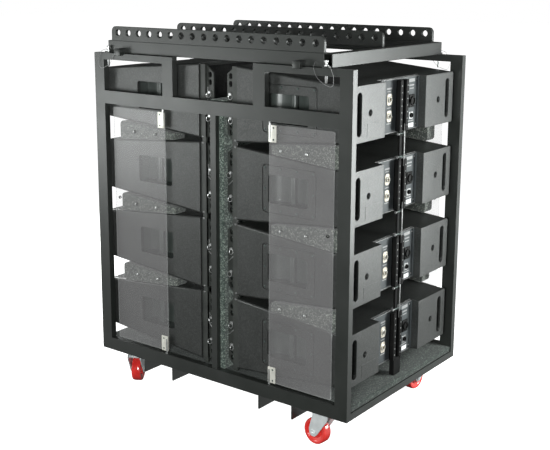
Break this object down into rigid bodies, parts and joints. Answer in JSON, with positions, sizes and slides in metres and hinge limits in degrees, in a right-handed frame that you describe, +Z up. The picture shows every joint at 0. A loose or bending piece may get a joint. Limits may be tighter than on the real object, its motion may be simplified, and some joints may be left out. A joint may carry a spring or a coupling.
{
  "type": "line array speaker system in transport rack",
  "caption": "Steel touring rack on swivel casters holding trapezoidal line array loudspeaker modules in two stacks, with hinged clear doors and a fly grid on top.",
  "frame": {"origin": "on the floor below the middle of the rack", "axes": "+X along the wide side of the rack, +Y across it away from the front doors, +Z up"},
  "size_m": [1.214, 0.827, 1.4763],
  "materials": {
    "frame_paint": "satin charcoal powder coat on steel tube",
    "cabinet_paint": "textured black paint on plywood",
    "rigging_steel": "black powder coat on steel plate",
    "carpet": "green-grey speckled needle-punch carpet",
    "clear_polycarbonate": "clear polycarbonate sheet with carpeted wedge blocks",
    "zinc_steel": "zinc plated steel",
    "red_polyurethane": "glossy red polyurethane tread",
    "grille_steel": "perforated steel, black powder coat",
    "driver_black": "painted board, paper cones and moulded horn",
    "amplifier_panel": "black anodised panel"
  },
  "bodies": {
    "rack": {"front_frame": "frame_paint", "back_frame": "frame_paint", "base_frame": "frame_paint", "deck_board": "carpet", "centre_divider": "carpet", "rigging_left_front_near": "rigging_steel", "rigging_left_front_far": "rigging_steel", "rigging_left_rear": "rigging_steel", "module_left_1_enclosure": "cabinet_paint", "module_left_1_driver_baffle": "driver_black", "module_left_1_grille": "grille_steel", "module_left_1_amplifier": "amplifier_panel", "module_left_2_enclosure": "cabinet_paint", "module_left_2_driver_baffle": "driver_black", "module_left_2_grille": "grille_steel", "module_left_2_amplifier": "amplifier_panel", "module_left_3_enclosure": "cabinet_paint", "module_left_3_driver_baffle": "driver_black", "module_left_3_grille": "grille_steel", "module_left_3_amplifier": "amplifier_panel", "module_left_4_enclosure": "cabinet_paint", "module_left_4_driver_baffle": "driver_black", "module_left_4_grille": "grille_steel", "module_left_4_amplifier": "amplifier_panel", "rigging_right_front_near": "rigging_steel", "rigging_right_front_far": "rigging_steel", "rigging_right_rear": "rigging_steel", "module_right_1_enclosure": "cabinet_paint", "module_right_1_driver_baffle": "driver_black", "module_right_1_grille": "grille_steel", "module_right_1_amplifier": "amplifier_panel", "module_right_2_enclosure": "cabinet_paint", "module_right_2_driver_baffle": "driver_black", "module_right_2_grille": "grille_steel", "module_right_2_amplifier": "amplifier_panel", "module_right_3_enclosure": "cabinet_paint", "module_right_3_driver_baffle": "driver_black", "module_right_3_grille": "grille_steel", "module_right_3_amplifier": "amplifier_panel", "module_right_4_enclosure": "cabinet_paint", "module_right_4_driver_baffle": "driver_black", "module_right_4_grille": "grille_steel", "module_right_4_amplifier": "amplifier_panel"},
    "caster_front_left_swivel": {"caster_front_left_fork": "zinc_steel"},
    "caster_front_left_roller": {"caster_front_left_wheel": "red_polyurethane"},
    "caster_front_right_swivel": {"caster_front_right_fork": "zinc_steel"},
    "caster_front_right_roller": {"caster_front_right_wheel": "red_polyurethane"},
    "caster_back_left_swivel": {"caster_back_left_fork": "zinc_steel"},
    "caster_back_left_roller": {"caster_back_left_wheel": "red_polyurethane"},
    "caster_back_right_swivel": {"caster_back_right_fork": "zinc_steel"},
    "caster_back_right_roller": {"caster_back_right_wheel": "red_polyurethane"},
    "door_front_left": {"door_front_left": "clear_polycarbonate"},
    "door_front_right": {"door_front_right": "clear_polycarbonate"},
    "door_back_left": {"door_back_left": "clear_polycarbonate"},
    "door_back_right": {"door_back_right": "clear_polycarbonate"},
    "fly_grid": {"fly_grid": "frame_paint"},
    "grid_pin_front_left": {"grid_pin_front_left": "zinc_steel"},
    "grid_pin_front_right": {"grid_pin_front_right": "zinc_steel"},
    "grid_pin_back_left": {"grid_pin_back_left": "zinc_steel"},
    "grid_pin_back_right": {"grid_pin_back_right": "zinc_steel"}
  },
  "joints": [
    {"name": "caster_front_left_swivel", "type": "hinge", "parent": "rack", "child": "caster_front_left_swivel", "pos_m": [-0.473, -0.3435, 0.13], "axis": [0, 0, 1], "continuous": true},
    {"name": "caster_front_left_roll", "type": "hinge", "parent": "caster_front_left_swivel", "child": "caster_front_left_roller", "pos_m": [-0.488, -0.31752, 0.05], "axis": [-0.866, -0.5, 0], "continuous": true},
    {"name": "caster_front_right_swivel", "type": "hinge", "parent": "rack", "child": "caster_front_right_swivel", "pos_m": [0.473, -0.3435, 0.13], "axis": [0, 0, 1], "continuous": true},
    {"name": "caster_front_right_roll", "type": "hinge", "parent": "caster_front_right_swivel", "child": "caster_front_right_roller", "pos_m": [0.44316, -0.34036, 0.05], "axis": [-0.1045, -0.9945, 0], "continuous": true},
    {"name": "caster_back_left_swivel", "type": "hinge", "parent": "rack", "child": "caster_back_left_swivel", "pos_m": [-0.473, 0.3435, 0.13], "axis": [0, 0, 1], "continuous": true},
    {"name": "caster_back_left_roll", "type": "hinge", "parent": "caster_back_left_swivel", "child": "caster_back_left_roller", "pos_m": [-0.49757, 0.32629, 0.05], "axis": [0.5736, -0.8192, 0], "continuous": true},
    {"name": "caster_back_right_swivel", "type": "hinge", "parent": "rack", "child": "caster_back_right_swivel", "pos_m": [0.473, 0.3435, 0.13], "axis": [0, 0, 1], "continuous": true},
    {"name": "caster_back_right_roll", "type": "hinge", "parent": "caster_back_right_swivel", "child": "caster_back_right_roller", "pos_m": [0.47039, 0.31361, 0.05], "axis": [0.9962, -0.0872, 0], "continuous": true},
    {"name": "door_front_left_hinge", "type": "hinge", "parent": "rack", "child": "door_front_left", "pos_m": [-0.256, -0.387, 0.681], "axis": [0, 0, 1], "range_deg": [0, 110]},
    {"name": "door_front_right_hinge", "type": "hinge", "parent": "rack", "child": "door_front_right", "pos_m": [0.256, -0.387, 0.681], "axis": [0, 0, -1], "range_deg": [0, 110]},
    {"name": "door_back_left_hinge", "type": "hinge", "parent": "rack", "child": "door_back_left", "pos_m": [-0.256, 0.387, 0.681], "axis": [0, 0, -1], "range_deg": [0, 110]},
    {"name": "door_back_right_hinge", "type": "hinge", "parent": "rack", "child": "door_back_right", "pos_m": [0.256, 0.387, 0.681], "axis": [0, 0, 1], "range_deg": [0, 110]},
    {"name": "fly_grid_lift", "type": "slide", "parent": "rack", "child": "fly_grid", "axis": [0, 0, 1], "range_m": [0, 0.3]},
    {"name": "grid_pin_front_left_pull", "type": "slide", "parent": "fly_grid", "child": "grid_pin_front_left", "axis": [0, 0, 1], "range_m": [0, 0.08]},
    {"name": "grid_pin_front_right_pull", "type": "slide", "parent": "fly_grid", "child": "grid_pin_front_right", "axis": [0, 0, 1], "range_m": [0, 0.08]},
    {"name": "grid_pin_back_left_pull", "type": "slide", "parent": "fly_grid", "child": "grid_pin_back_left", "axis": [0, 0, 1], "range_m": [0, 0.08]},
    {"name": "grid_pin_back_right_pull", "type": "slide", "parent": "fly_grid", "child": "grid_pin_back_right", "axis": [0, 0, 1], "range_m": [0, 0.08]}
  ]
}
